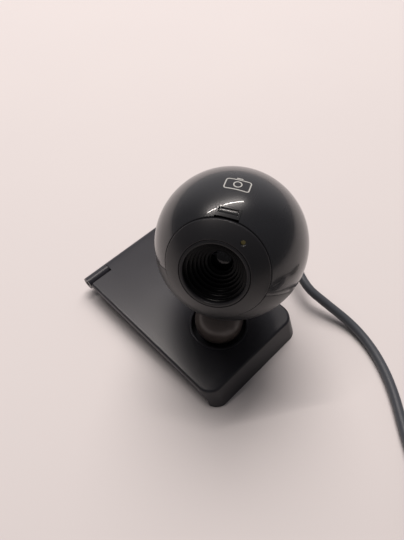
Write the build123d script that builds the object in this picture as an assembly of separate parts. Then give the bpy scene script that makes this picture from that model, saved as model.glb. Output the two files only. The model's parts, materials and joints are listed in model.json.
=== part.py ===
from build123d import *
import math
import os

# A ball-shaped desk webcam on a folding clip base.
# Frame: the origin is on the swivel axis at desk level, +Z is up, and the clip's lip faces -Y.
# The camera ball is built in its own frame: origin at the ball's centre, optical axis -Y, up +Z.

# ---------------------------------------------------------------- driving dimensions (mm, degrees)
BALL_R = 27.5
WALL = 2.0
INNER_R = BALL_R - WALL
HEADING = -62.5  # turn of the camera about the swivel axis
PITCH = 27.17  # how far the camera looks up
PIN_HEIGHT = 26.4  # height of the tilt pin above the desk
PIN_DROP = 24.6  # from the ball's centre down to the tilt pin

FACE_R = 17.9  # opening of the shells for the front bezel
FACE_GAP = 0.2
PARTING_DROP = 8.6  # parting plane below the ball's centre
PARTING_TILT = -9.37
PARTING_GAP = 0.15
LIP_WIDTH = 0.9
LIP_HEIGHT = 1.2

PLATE_HALF = 25.7
PLATE_TOP = 9.0
PLATE_THICK = 2.4
PLATE_UNDER = PLATE_TOP - PLATE_THICK
CREASE_Y = -19.8
LIP_TOE_Y = -23.6
SKIRT_WALL = 2.6
CORNER_R = 6.0
HINGE_Y = 55.6
HINGE_Z = 6.3
KNUCKLE_R = 2.7
KNUCKLE_HALF = 14.4
SIDE_GAP = 0.2

SOCKET_R = 12.2
SOCKET_INNER_R = 11.2
SOCKET_FLOOR = 4.4
BOSS_R = 13.8
BOSS_FOOT = 2.6
SWIVEL_HOLE_R = 4.55
BULB_R = 9.8
BULB_Z = 12.0
STALK_HALF = 4.4
STALK_R = 3.4
PIN_R = 1.25

HUB_R = 13.1
HUB_BORE_R = 11.75
HUB_REAR_BORE_R = 11.0
HUB_REAR = 14.1
PILLAR_R = 1.7
PILLAR_CIRCLE = 15.3
PILLAR_ANGLES = (20, 160, 215, 325)
BOARD_R = 20.0
BOARD_HALF = 0.8
SHELL_SCREW_X = 20.2
SHELL_SCREW_Y = 8.0

BUTTON_ELEVATION = 45.3  # above the optical axis, about the ball's centre
BUTTON_LENGTH = 6.2
BUTTON_WIDTH = 1.6
LED_X = 6.85
LED_Z = 12.37

CORD_D = 3.9
CORD_R = CORD_D / 2
RELIEF_END = BALL_R + 4.0
COIL_CENTRE = (24.7, -112.0)
COIL_OUTER_R = 23.95
COIL_INNER_R = 20.05
COIL_LAYERS = 4
COIL_FOOT = 0.8
COIL_START = 150.0
COIL_TURNS = 7.39
PLUG_HEADING = 76.0
PLUG_BACK = (66.2, -104.4, 4.1)
OVERMOULD_LENGTH = 27.0
USB_WIDTH = 12.0
USB_HEIGHT = 4.5
USB_EXPOSED = 12.0
USB_BURIED = 6.75

# The cord's own line from the strain relief to the coil, and from the coil to the plug.
# It leaves the ball's back, hooks down behind it, runs round it near the desk and lies on the desk.
CORD_ROUTE = [
    (34.8, 18.1, 33.8),
    (41.0, 21.3, 30.2),
    (48.4, 21.4, 23.1),
    (53.2, 15.4, 14.8),
    (52.5, 4.8, 9.3),
    (39.8, -12.5, 9.3),
    (41.5, -25.5, 5.6),
    (42.8, -36.0, 3.0),
    (41.8, -44.4, 2.1),
    (38.8, -53.0, 1.96),
    (34.3, -61.1, 1.95),
    (28.8, -68.4, 1.95),
    (22.6, -75.1, 1.95),
    (16.2, -81.9, 2.05),
    (9.26, -90.8, 2.4),
    (3.96, -100.0, 2.75),
]
JUNCTION = (46.6, -3.24, 9.3)  # where the head's share of the cord ends
TAIL_POINTS = 5
END_ROUTE = [
    (33.05, -134.45, 14.45),
    (42.6, -130.9, 13.9),
    (53.4, -125.4, 10.6),
    (61.7, -116.3, 6.4),
    PLUG_BACK,
]

# ---------------------------------------------------------------- frames
BALL = Pos(0, 0, PIN_HEIGHT) * Rot(0, 0, HEADING) * Rot(-PITCH, 0, 0) * Pos(0, 0, PIN_DROP)
NECK = Rot(0, 0, HEADING)
PARTING = Pos(0, 0, -PARTING_DROP) * Rot(PARTING_TILT, 0, 0)
BUTTON = Rot(90 - BUTTON_ELEVATION, 0, 0)  # local Z is radial at the button
PLUG = Pos(*PLUG_BACK) * Rot(0, 0, PLUG_HEADING) * Rot(0, 90, 0)  # local Z runs to the plug's tip
UP = (Align.CENTER, Align.CENTER, Align.MIN)


# ---------------------------------------------------------------- helpers
def disc(radius, low, high, x=0.0, y=0.0):
    """Cylinder along Z between two heights."""
    return Pos(x, y, low) * Cylinder(radius, high - low, align=UP)


def ring(outer, inner, low, high):
    """Tube along Z between two heights."""
    return disc(outer, low, high) - disc(inner, low - 1, high + 1)


def forward(shape):
    """Turn a shape built along +Z so that it runs along the optical axis, -Y."""
    return Rot(90, 0, 0) * shape


def cuboid(x, y, z):
    """Box between three pairs of bounds."""
    size = Box(x[1] - x[0], y[1] - y[0], z[1] - z[0])
    return Pos((x[0] + x[1]) / 2, (y[0] + y[1]) / 2, (z[0] + z[1]) / 2) * size


def across(radius, half, y, z):
    """Cylinder along X, centred on the YZ plane."""
    return Pos(0, y, z) * Rot(0, 90, 0) * Cylinder(radius, 2 * half)


def stepped_bore(steps):
    """Union of discs, each (radius, low, high)."""
    bore = disc(*steps[0])
    for step in steps[1:]:
        bore += disc(*step)
    return bore


def group(shapes):
    """Keep separate solids together in one node."""
    solids = [solid for shape in shapes for solid in shape.solids()]
    return Compound(solids)


def save(name, shape):
    """Write one node."""
    export_step(shape, f"parts/{name}.step")


# ---------------------------------------------------------------- base
def plate_block(inset, floor):
    """Solid with the plate's plan and its slanted front, inset all round and topped at the plate's face."""
    half = PLATE_HALF - inset
    slope = (LIP_TOE_Y - CREASE_Y) / PLATE_TOP
    drop = inset * math.hypot(1, slope)
    front_top = CREASE_Y + drop
    front_toe = front_top - slope * (floor - PLATE_TOP)
    top = PLATE_TOP if inset == 0 else PLATE_UNDER
    front_face = front_top + slope * (PLATE_TOP - top)
    side = Polyline(
        (front_face, top), (HINGE_Y + 8, top), (HINGE_Y + 8, floor), (front_toe, floor), close=True
    )
    block = extrude(Plane.YZ * make_face(side), half, both=True)
    front = block.edges().sort_by(lambda e: e.center().Y)
    corners = [e for e in front if abs(abs(e.center().X) - half) < 0.01 and e.center().Y < 0]
    corners = [e for e in corners if abs(e.tangent_at(0.5).Z) > 0.5]
    return fillet(corners, CORNER_R - inset)


def skirt_cutter():
    """Space below the plate behind the lip's curved side edges."""
    outline = Polyline((-19.6, -2.0), (90, -2.0), (90, PLATE_UNDER), (-12.5, PLATE_UNDER))
    curve = ThreePointArc((-12.5, PLATE_UNDER), (-17.3, 4.4), (-19.6, -2.0))
    return extrude(Plane.YZ * make_face([outline, curve]), 2 * PLATE_HALF, both=True)


def clip_plate():
    """Upper leaf of the clip: a shallow plate with a lip in front, hinge knuckle and swivel socket."""
    plate = plate_block(0, 0)
    crease = plate.edges().filter_by(Axis.X).sort_by(lambda e: abs(e.center().Y - CREASE_Y))[0]
    plate = fillet(crease, 1.2)
    plate -= plate_block(SKIRT_WALL, -1)
    plate -= skirt_cutter()
    plate -= cuboid((-60, 60), (HINGE_Y, HINGE_Y + 20), (-1, 20))
    plate += across(KNUCKLE_R, KNUCKLE_HALF, HINGE_Y, HINGE_Z)
    for side in (-1, 1):
        notch = sorted((side * KNUCKLE_HALF, side * (PLATE_HALF + 1)))
        plate -= cuboid(notch, (52.5, 62), (-1, 20))
    plate += disc(BOSS_R, BOSS_FOOT, PLATE_UNDER + 0.5)
    plate -= disc(SOCKET_R, 5.0, PLATE_TOP + 1)
    plate -= disc(SOCKET_INNER_R, SOCKET_FLOOR, 6)
    plate -= disc(SWIVEL_HOLE_R, 0, 6)
    return plate - across(1.0, KNUCKLE_HALF + 1, HINGE_Y, HINGE_Z)


def socket_ring():
    """Trim ring pressed into the plate round the neck, with a rounded top edge."""
    trim = ring(SOCKET_R, SOCKET_INNER_R, 5.0, PLATE_TOP + 0.3)
    return fillet(trim.edges().group_by(Axis.Z)[-1], 0.25)


def lip_pad():
    """Thin rubber strip on the inner face of the lip."""
    slope = math.degrees(math.atan2(CREASE_Y - LIP_TOE_Y, PLATE_TOP))
    middle = (CREASE_Y + LIP_TOE_Y) / 2 + SKIRT_WALL * math.hypot(1, math.tan(math.radians(slope)))
    strip = Box(36, 0.8, 4.6, align=(Align.CENTER, Align.MIN, Align.CENTER))
    return Pos(0, middle, PLATE_TOP / 2) * Rot(-slope, 0, 0) * Pos(0, 0, -1.2) * strip


# ---------------------------------------------------------------- folding leg
def rear_leg():
    """Lower leaf of the clip, hinged at the back, with a finger notch in its free edge."""
    leaf = cuboid((-22.5, 22.5), (14.8, 51.2), (1.4, 5.2))
    leaf = fillet(leaf.edges().filter_by(Axis.Z).group_by(Axis.Y)[0], 5)
    leaf -= disc(6.0, 0, 6, 0, 12.6)
    for side in (-1, 1):
        arm = sorted((side * 14.6, side * 22.5))
        leaf += cuboid(arm, (50, HINGE_Y), (3.4, 5.2))
        barrel = Pos(side * 20.15, HINGE_Y, HINGE_Z) * Rot(0, 90, 0) * Cylinder(KNUCKLE_R, 11.1)
        leaf += barrel
    return leaf - across(1.05, PLATE_HALF + 1, HINGE_Y, HINGE_Z)


def foot_pads():
    """Two rubber strips under the leg."""
    return group(cuboid((-15, 15), (y, y + 6), (0, 1.4)) for y in (17, 42))


# ---------------------------------------------------------------- neck
def neck():
    """Round foot that turns in the plate, with the stalk that carries the tilt pin."""
    body = Pos(0, 0, BULB_Z) * Sphere(BULB_R)
    body -= disc(20, -5, 4.6)
    body += disc(4.5, 2.5, 5)
    stalk = cuboid((-STALK_HALF, STALK_HALF), (-STALK_R, STALK_R), (BULB_Z + 5, PIN_HEIGHT))
    body += stalk
    body += across(STALK_R, STALK_HALF, 0, PIN_HEIGHT)
    body -= across(PIN_R + 0.05, STALK_HALF + 1, 0, PIN_HEIGHT)
    return body - disc(PIN_R, 2, 9.5)


def swivel_screw():
    """Screw up into the neck that holds the swivel washer."""
    head = disc(2.4, 0.7, 2.0) - cuboid((-2.0, 2.0), (-0.3, 0.3), (0.5, 1.2))
    head -= cuboid((-0.3, 0.3), (-2.0, 2.0), (0.5, 1.2))
    return head + disc(PIN_R, 1.9, 9.2)


def friction_washers():
    """Washers between the neck's barrel and the ears of the lower shell."""
    washer = ring(3.2, 1.35, 4.5, 4.85)
    pair = (Rot(0, 90, 0) * washer, Rot(0, -90, 0) * washer)
    return group(Pos(0, 0, PIN_HEIGHT) * one for one in pair)


# ---------------------------------------------------------------- camera ball
def shell_slab(low, high):
    """Wide slab parallel to the parting plane."""
    return PARTING * cuboid((-40, 40), (-40, 40), (low, high))


def face_opening():
    """Cylinder cut out of both shells for the front bezel."""
    return forward(disc(FACE_R, 12, 30))


def shell_bosses(low, high, radius):
    """Cylinders at the two shell screws."""
    left = disc(radius, low, high, -SHELL_SCREW_X, SHELL_SCREW_Y)
    return left + disc(radius, low, high, SHELL_SCREW_X, SHELL_SCREW_Y)


def button_opening():
    """Notch in the upper shell for the button's frame; it runs out into the face opening."""
    return BUTTON * cuboid((-4.0, 4.0), (-3.0, 1.6), (24.0, 28.5))


def upper_shell():
    """Glossy upper casing, which also covers the back."""
    hollow = Sphere(BALL_R) - Sphere(INNER_R)
    shell = hollow & shell_slab(0, 60)
    bosses = shell_bosses(-14, -5, 2.8) & shell_slab(0, 30) & Sphere(INNER_R + 0.2)
    bosses -= shell_bosses(-14, -6, 0.9)
    shell += bosses
    for x in (-5.0, 5.0):
        shell += BUTTON * disc(1.0, 22.6, INNER_R + 0.5, x, 0)
    rebate = Sphere(INNER_R + LIP_WIDTH + 0.1) - Sphere(INNER_R - 0.1)
    shell -= rebate & shell_slab(-1, LIP_HEIGHT + 0.15)
    shell -= face_opening()
    shell -= button_opening()
    return shell - Rot(-90, 0, 0) * disc(3.3, 20, 30)


def lower_shell():
    """Satin lower casing with the slot for the neck and the two ears that hold the tilt pin."""
    shell = Sphere(BALL_R) - Sphere(INNER_R)
    shell &= shell_slab(-60, -PARTING_GAP)
    rim = Sphere(INNER_R + LIP_WIDTH) - Sphere(INNER_R)
    rim &= shell_slab(-1, LIP_HEIGHT)
    shell += rim
    ears = cuboid((-8.8, 8.8), (-4.5, 4.5), (-26.5, -20.5)) & Sphere(INNER_R + 0.5)
    shell += ears
    pillars = shell_bosses(-16, -5, 2.8) & shell_slab(-30, -PARTING_GAP) & Sphere(INNER_R + 0.5)
    shell += pillars
    shell -= shell_bosses(-20, -11.6, 2.1)
    shell -= shell_bosses(-20, -5, 1.2)
    shell -= cuboid((-4.95, 4.95), (-6.3, 6.7), (-30, -20))
    shell -= across(PIN_R, 10, 0, -PIN_DROP)
    return shell - face_opening()


def front_bezel():
    """Satin face with the hub that the focus ring turns in, a locating collar and board pillars."""
    skin = Sphere(BALL_R) - Sphere(INNER_R + 0.1)
    skin &= forward(disc(FACE_R - FACE_GAP, 10, 30))
    hub = forward(disc(HUB_R, HUB_REAR, 25)) & Sphere(BALL_R)
    collar = forward(ring(FACE_R - 0.3, FACE_R - 1.7, 17, 21.6)) & Sphere(BALL_R - 1)
    collar -= cuboid((-8.5, 8.5), (-21.6, -16), (8, 20)) & Sphere(INNER_R + 0.1)
    bezel = skin + hub + collar
    for angle in PILLAR_ANGLES:
        x = PILLAR_CIRCLE * math.cos(math.radians(angle))
        z = PILLAR_CIRCLE * math.sin(math.radians(angle))
        pillar = forward(disc(PILLAR_R, BOARD_HALF, 23, x, z)) & Sphere(BALL_R - 1)
        bezel += pillar
        bezel -= forward(disc(0.6, 0, 6.5, x, z))
    bezel -= forward(disc(HUB_BORE_R, 20, 30))
    bezel -= forward(disc(HUB_REAR_BORE_R, 10, 21))
    bezel -= forward(disc(0.75, 10, 30, LED_X, LED_Z))
    return bezel - BUTTON * cuboid((-4.2, 4.2), (-2.3, 3.0), (22, 26.9))


def button_frame():
    """Raised trim round the button; its lower bar bridges to the bezel."""
    frame = BUTTON * cuboid((-3.9, 3.9), (-2.1, 1.5), (25.6, 29))
    frame &= Sphere(BALL_R + 0.15)
    frame -= BUTTON * cuboid((-3.2, 3.2), (-0.9, 0.9), (25, 30))
    return frame - forward(disc(FACE_R, 10, 30))


def snapshot_button():
    """Narrow push button with a flange that keeps it in its frame."""
    half_length = BUTTON_LENGTH / 2
    half_width = BUTTON_WIDTH / 2
    cap = BUTTON * cuboid((-half_length, half_length), (-half_width, half_width), (24.8, 29))
    cap &= Sphere(BALL_R - 0.15)
    return cap + BUTTON * cuboid((-3.6, 3.6), (-1.3, 1.3), (24.8, 25.35))


def tact_switch():
    """Small switch under the button."""
    return BUTTON * (cuboid((-2.5, 2.5), (-1.5, 1.5), (22.6, 23.7)) + disc(0.9, 23.6, 24.2))


def button_board():
    """Small circuit board that carries the switch, held on the shell's two posts."""
    return BUTTON * cuboid((-6.0, 6.0), (-2.0, 2.0), (21.7, 22.6))


def tilt_pin():
    """Pin through the ears and the neck's barrel."""
    return across(PIN_R, 8.6, 0, -PIN_DROP)


def main_board():
    """Round circuit board across the ball, cut away above the tilt ears."""
    board = forward(disc(BOARD_R, -BOARD_HALF, BOARD_HALF))
    board -= cuboid((-30, 30), (-3, 3), (-30, -13))
    for angle in PILLAR_ANGLES:
        x = PILLAR_CIRCLE * math.cos(math.radians(angle))
        z = PILLAR_CIRCLE * math.sin(math.radians(angle))
        board -= forward(disc(0.75, -2, 2, x, z))
    return board


def board_screws():
    """Four screws that hold the board on the bezel's pillars."""
    screws = []
    for angle in PILLAR_ANGLES:
        x = PILLAR_CIRCLE * math.cos(math.radians(angle))
        z = PILLAR_CIRCLE * math.sin(math.radians(angle))
        head = disc(1.5, -BOARD_HALF - 1.1, -BOARD_HALF, x, z)
        slot = Pos(x, z, -BOARD_HALF - 1.1) * Box(2.2, 0.4, 0.8)
        screws.append(forward(head - slot + disc(0.6, -BOARD_HALF - 0.2, 5.5, x, z)))
    return group(screws)


def shell_screws():
    """Two screws from below that join the shells."""
    screws = []
    for x in (-SHELL_SCREW_X, SHELL_SCREW_X):
        head = disc(1.9, -12.9, -11.6, x, SHELL_SCREW_Y)
        slot = Pos(x, SHELL_SCREW_Y, -12.9) * Box(2.8, 0.5, 0.9)
        screws.append(head - slot + disc(0.9, -11.8, -6.4, x, SHELL_SCREW_Y))
    return group(screws)


def board_components():
    """Chips, crystal and capacitors on the board's back, as separate solids."""
    back = BOARD_HALF
    pieces = [
        cuboid((-4.5, 4.5), (back, back + 1.3), (5.0, 14.0)),
        cuboid((-12.5, -7.5), (back, back + 1.0), (-4.0, 0.5)),
        cuboid((7.5, 12.5), (back, back + 2.4), (-3.2, -0.2)),
    ]
    pieces += [Rot(-90, 0, 0) * disc(1.8, back, back + 4.2, x, 9.5) for x in (-7.5, 7.5)]
    pieces += [cuboid((x, x + 1.0), (back, back + 0.6), (15.2, 17.2)) for x in (-6.0, -3.0, 2.0, 5.0)]
    return group(pieces)


def board_connector():
    """Socket and plug where the cord's wires meet the board."""
    return cuboid((-4, 4), (BOARD_HALF, 6.8), (-3.2, 1.8))


def status_led():
    """Indicator lamp on the front of the board."""
    lamp = cuboid((LED_X - 0.8, LED_X + 0.8), (-1.5, -BOARD_HALF), (LED_Z - 0.8, LED_Z + 0.8))
    return lamp + forward(disc(0.55, 1.4, 2.2, LED_X, LED_Z))


def led_pipe():
    """Clear rod that carries the lamp's light to the face."""
    return forward(disc(0.7, 2.4, 28, LED_X, LED_Z)) & Sphere(BALL_R - 0.05)


def strain_relief():
    """Rubber gland at the back with an inner flange and a grooved tail."""
    tail = Pos(0, 0, BALL_R - 0.6) * Cone(3.1, 2.4, RELIEF_END - BALL_R + 0.6, align=UP)
    relief = disc(4.2, 24.0, 25.0) + disc(3.2, 24.5, BALL_R) + tail
    for height in (28.5, 30.0):
        relief -= ring(4.0, 2.25, height, height + 0.6)
    return Rot(-90, 0, 0) * relief


# ---------------------------------------------------------------- optics
def lens_holder():
    """Square foot over the sensor with the threaded tube that guides the lens barrel."""
    holder = forward(cuboid((-8, 8), (-8, 8), (BOARD_HALF, 3.4)) + disc(7.9, 3.0, 12.2))
    holder -= forward(cuboid((-5, 5), (-5, 5), (0, 2.6)))
    holder -= forward(disc(3.6, 2, 4))
    return holder - forward(disc(6.05, 3.4, 13))


def lug_ring(radius, reach, width, low, high):
    """Disc with three key lugs, 120 degrees apart."""
    lugs = disc(radius, low, high)
    for turn in (90, 210, 330):
        lugs += Rot(0, 0, turn) * cuboid((0, reach), (-width / 2, width / 2), (low, high))
    return lugs


def lens_barrel():
    """Lens tube with a head whose lugs engage the focus ring."""
    barrel = disc(6.0, 4.6, 13.4) + lug_ring(7.4, 9.0, 2.0, 13.2, 14.8)
    barrel -= disc(3.65, 0, 20)
    return forward(barrel - disc(5.0, 11.9, 20))


def focus_ring():
    """Black lens hood and focus ring in one: a stepped funnel with keyways at its rear."""
    body = disc(11.66, 20.1, 25.7) + disc(10.92, 12.6, 20.5)
    body -= ring(12, 10.2, 13.3, 14.0)
    funnel = [(10.4, 23.4), (9.5, 21.6), (8.5, 20.0), (7.5, 18.6), (6.5, 17.4), (5.5, 16.4), (4.4, 15.0)]
    body -= stepped_bore([(radius, floor, 27) for radius, floor in funnel])
    body -= lug_ring(7.6, 9.2, 2.2, 12, 15.3)
    rim = body.edges().group_by(Axis.Z)[-1]
    return forward(fillet(rim, 0.35))


# ---------------------------------------------------------------- cord and plug
def corner_radii(points):
    """Largest easy radius at each inner point: 0.45 of its shorter run over tan(half the turn)."""
    radii = []
    for before, here, after in zip(points, points[1:], points[2:]):
        run_in = Vector(*here) - Vector(*before)
        run_out = Vector(*after) - Vector(*here)
        turn = math.radians(run_in.get_angle(run_out))
        radii.append(0.45 * min(run_in.length, run_out.length) / math.tan(turn / 2))
    return radii


def tube(name, points, radii):
    """Round cord along straight runs joined by tangent arcs."""
    path = FilletPolyline(*points, radius=radii)
    solid = sweep(Plane(origin=path @ 0, z_dir=path % 0) * Circle(CORD_R), path=path)
    expected = math.pi * CORD_R**2 * path.length
    shown = ", ".join(f"{radius:.1f}" for radius in radii)
    print(f"{name}: length {path.length:.1f}, volume {solid.volume / expected:.4f} of expected, radii {shown}")
    return solid


def cord_tubes():
    """The head's share of the cord, and the share that lies with the base."""
    radii = corner_radii(CORD_ROUTE)
    tail = tube("cord_tail", CORD_ROUTE[:TAIL_POINTS] + [JUNCTION], radii[: TAIL_POINTS - 1])
    lead = tube("cord_lead", [JUNCTION] + CORD_ROUTE[TAIL_POINTS:], radii[TAIL_POINTS - 1 :])
    return tail, lead


def coil_length():
    """Length of cord wound in the coil: turns alternate outer, inner, inner, outer."""
    length = 0.0
    for turn in range(math.ceil(COIL_TURNS)):
        share = min(1.0, COIL_TURNS - turn)
        radius = COIL_OUTER_R if turn % 4 in (0, 3) else COIL_INNER_R
        length += share * 2 * math.pi * radius
    return length


def cord_coil():
    """Outer shape of the coiled length."""
    top = COIL_FOOT + COIL_LAYERS * CORD_D
    coil = ring(COIL_OUTER_R + CORD_R, COIL_INNER_R - CORD_R, COIL_FOOT, top)
    print(f"cord_coil: length {coil_length():.0f}")
    return Pos(*COIL_CENTRE, 0) * coil


def cord_tie():
    """Strap round the coil's section."""
    top = COIL_FOOT + COIL_LAYERS * CORD_D
    low = COIL_INNER_R - CORD_R
    high = COIL_OUTER_R + CORD_R
    strap = cuboid((low - 0.8, high + 0.8), (-3.5, 3.5), (0, top + 0.8))
    strap = fillet(strap.edges().filter_by(Axis.Y), 1.2)
    strap -= cuboid((low, high), (-4, 4), (COIL_FOOT, top))
    return Pos(*COIL_CENTRE, 0) * Rot(0, 0, 15) * strap


def usb_overmould():
    """Moulded grip with a tapered tail, a pocket for the shell and a plain raised thumb panel."""
    grip_start = 9.0
    tail = Cone(2.7, 3.7, grip_start + 0.5, align=UP)
    grip = cuboid((-4.1, 4.1), (-7.8, 7.8), (grip_start, OVERMOULD_LENGTH))
    grip = fillet(grip.edges().filter_by(Axis.Z), 2.0)
    grip = fillet(grip.edges().group_by(Axis.Z)[0], 1.5)
    pocket_floor = OVERMOULD_LENGTH - USB_BURIED
    height = (-USB_HEIGHT / 2, USB_HEIGHT / 2)
    width = (-USB_WIDTH / 2, USB_WIDTH / 2)
    grip -= cuboid(height, width, (pocket_floor, OVERMOULD_LENGTH + 1))
    for step in (2.5, 4.7, 6.9):
        tail -= ring(6, 2.75, step, step + 0.8)
    return PLUG * (tail + grip)


def usb_shell():
    """Folded metal shell with its four latch windows."""
    low = OVERMOULD_LENGTH - USB_BURIED
    high = OVERMOULD_LENGTH + USB_EXPOSED
    height = USB_HEIGHT / 2
    width = USB_WIDTH / 2
    shell = cuboid((-height, height), (-width, width), (low, high))
    shell -= cuboid((0.3 - height, height - 0.3), (0.3 - width, width - 0.3), (low - 1, high + 1))
    for y in (-2.9, 2.9):
        shell -= cuboid((-5, 5), (y - 1.2, y + 1.2), (high - 7.6, high - 5.2))
    return PLUG * shell


def usb_tongue():
    """Plastic tongue that fills the shell's root and one half of its mouth."""
    low = OVERMOULD_LENGTH - USB_BURIED
    high = OVERMOULD_LENGTH + USB_EXPOSED
    inside = USB_WIDTH / 2 - 0.3
    root = cuboid((-1.95, 1.95), (-inside, inside), (low, OVERMOULD_LENGTH + 0.6))
    return PLUG * (root + cuboid((-1.95, 0.0), (-inside, inside), (low, high - 0.4)))


def usb_contacts():
    """Four contact strips on the tongue; the outer pair is longer."""
    start = OVERMOULD_LENGTH + 0.6
    strips = []
    for y, length in ((-3.5, 9.6), (-1.0, 8.6), (1.0, 8.6), (3.5, 9.6)):
        strips.append(PLUG * cuboid((0.0, 0.15), (y - 0.5, y + 0.5), (start, start + length)))
    return group(strips)


# ---------------------------------------------------------------- nodes
def main():
    """Build every node and write it."""
    os.makedirs("parts", exist_ok=True)
    base_nodes = {
        "clip_plate": clip_plate(),
        "socket_ring": socket_ring(),
        "thrust_washer": ring(6.2, 4.6, SOCKET_FLOOR, 4.6),
        "rest_pad": ring(13.4, 8.0, 1.8, BOSS_FOOT),
        "lip_pad": lip_pad(),
        "hinge_pin": across(1.0, PLATE_HALF - 0.5, HINGE_Y, HINGE_Z),
        "rear_leg": rear_leg(),
        "leg_grip_pad": cuboid((-17, 17), (19.5, 47), (5.2, 6.1)),
        "foot_pads": foot_pads(),
        "cord_coil": cord_coil(),
        "cord_tie": cord_tie(),
        "usb_overmould": usb_overmould(),
        "usb_shell": usb_shell(),
        "usb_tongue": usb_tongue(),
        "usb_contacts": usb_contacts(),
    }
    base_nodes["cord_tail"], base_nodes["cord_lead"] = cord_tubes()
    base_nodes["cord_end"] = tube("cord_end", END_ROUTE, corner_radii(END_ROUTE))
    neck_nodes = {
        "neck": neck(),
        "swivel_washer": ring(7.0, PIN_R, 2.0, 2.5),
        "swivel_screw": swivel_screw(),
        "friction_washers": friction_washers(),
    }
    ball_nodes = {
        "upper_shell": upper_shell(),
        "lower_shell": lower_shell(),
        "front_bezel": front_bezel(),
        "tilt_pin": tilt_pin(),
        "button_frame": button_frame(),
        "snapshot_button": snapshot_button(),
        "tact_switch": tact_switch(),
        "button_board": button_board(),
        "main_board": main_board(),
        "board_screws": board_screws(),
        "shell_screws": shell_screws(),
        "board_components": board_components(),
        "board_connector": board_connector(),
        "inner_lead": Rot(-90, 0, 0) * disc(CORD_R, 6.8, 24.0),
        "status_led": status_led(),
        "led_pipe": led_pipe(),
        "strain_relief": strain_relief(),
        "image_sensor": forward(cuboid((-4, 4), (-4, 4), (BOARD_HALF, 1.9))),
        "lens_holder": lens_holder(),
        "ir_filter": forward(disc(5.8, 3.4, 3.95)),
        "lens_barrel": lens_barrel(),
        "lens_retainer": forward(ring(5.0, 3.9, 13.9, 14.8)),
        "lens_front": forward(disc(4.95, 12.0, 13.9)),
        "lens_middle": forward(disc(3.65, 8.0, 10.2)),
        "lens_rear": forward(disc(3.65, 5.2, 7.2)),
        "focus_ring": focus_ring(),
        "focus_clip": forward(ring(12.3, 10.25, 13.35, 13.95)),
    }
    for name, shape in base_nodes.items():
        save(name, shape)
    for name, shape in neck_nodes.items():
        save(name, NECK * shape)
    for name, shape in ball_nodes.items():
        save(name, BALL * shape)


main()
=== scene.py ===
"""Looks of a ball-shaped desk webcam on a folding clip base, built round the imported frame."""

import json
import logging
import math
from dataclasses import dataclass
from enum import Enum

import bmesh
import bpy
from mathutils import Matrix, Vector

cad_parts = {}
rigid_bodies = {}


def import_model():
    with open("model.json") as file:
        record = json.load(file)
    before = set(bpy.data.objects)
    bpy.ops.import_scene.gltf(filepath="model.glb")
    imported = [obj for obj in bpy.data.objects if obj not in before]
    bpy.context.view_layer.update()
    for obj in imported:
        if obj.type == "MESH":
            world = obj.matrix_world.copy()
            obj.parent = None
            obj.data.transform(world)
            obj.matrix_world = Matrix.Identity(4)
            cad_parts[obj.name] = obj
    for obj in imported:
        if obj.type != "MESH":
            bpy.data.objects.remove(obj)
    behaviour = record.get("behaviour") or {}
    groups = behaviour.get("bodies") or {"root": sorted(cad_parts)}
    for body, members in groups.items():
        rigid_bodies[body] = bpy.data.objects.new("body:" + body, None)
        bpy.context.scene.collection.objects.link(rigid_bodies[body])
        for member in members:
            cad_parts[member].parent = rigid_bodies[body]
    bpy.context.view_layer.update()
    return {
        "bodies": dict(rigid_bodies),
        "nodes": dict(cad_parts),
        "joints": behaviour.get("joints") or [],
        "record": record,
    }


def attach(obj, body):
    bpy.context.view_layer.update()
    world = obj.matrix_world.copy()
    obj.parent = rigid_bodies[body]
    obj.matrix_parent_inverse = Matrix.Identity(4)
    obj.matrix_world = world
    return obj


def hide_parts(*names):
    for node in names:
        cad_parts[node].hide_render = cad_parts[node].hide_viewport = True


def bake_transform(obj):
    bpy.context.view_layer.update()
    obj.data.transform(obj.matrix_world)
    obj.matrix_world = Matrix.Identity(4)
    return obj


LOG = logging.getLogger("webcam")
MM = 0.001
Point = tuple[float, float, float]

WELD_MM = 1e-4  # points of a new piece nearer than this are one
NODE_WELD = 1e-6  # the same for a CAD node's loose triangles, in metres
FLAT_DEGREES = 0.5  # facets of a CAD node that turn by less are one face
CREASE_DEGREES = 30.0
AXIS_GAP = 0.02  # radius at which a solid of revolution stops short of its axis
MIX_A, MIX_B, MIX_RESULT = 6, 7, 2  # colour sockets of a Mix node
NOISE_LOW, NOISE_HIGH = 0.15, 0.85  # a noise's values nearly all lie between these
MIN_ROUGHNESS = 0.02
SPECK_MM = 0.9
SPECK_LOW, SPECK_HIGH = 0.66, 0.76  # noise above these is dust

# The camera ball's own frame: origin at its centre, optical axis -Y, up +Z.
HEADING = -62.5
PITCH = 27.17
PIN_HEIGHT = 26.4
PIN_DROP = 24.6
BALL_R = 27.5
BUTTON_ELEVATION = 45.3
LIGHT_PLACE = (6.85, 12.37)  # the light window, seen along the optical axis


def turned(degrees: float, axis: str) -> Matrix:
    """A rotation as a 4x4 matrix."""
    return Matrix.Rotation(math.radians(degrees), 4, axis)


def moved(x: float, y: float, z: float) -> Matrix:
    """A shift in millimetres as a 4x4 matrix."""
    return Matrix.Translation((x, y, z))


NECK_FRAME = turned(HEADING, "Z")
PIN_FRAME = moved(0, 0, PIN_HEIGHT) @ NECK_FRAME @ turned(-PITCH, "X")
BALL_FRAME = PIN_FRAME @ moved(0, 0, PIN_DROP)
OPTICAL_FRAME = BALL_FRAME @ turned(90, "X")  # local Z runs out of the lens
REAR_FRAME = BALL_FRAME @ turned(-90, "X")  # local Z runs out of the ball's back
BUTTON_FRAME = BALL_FRAME @ turned(90 - BUTTON_ELEVATION, "X")


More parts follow.
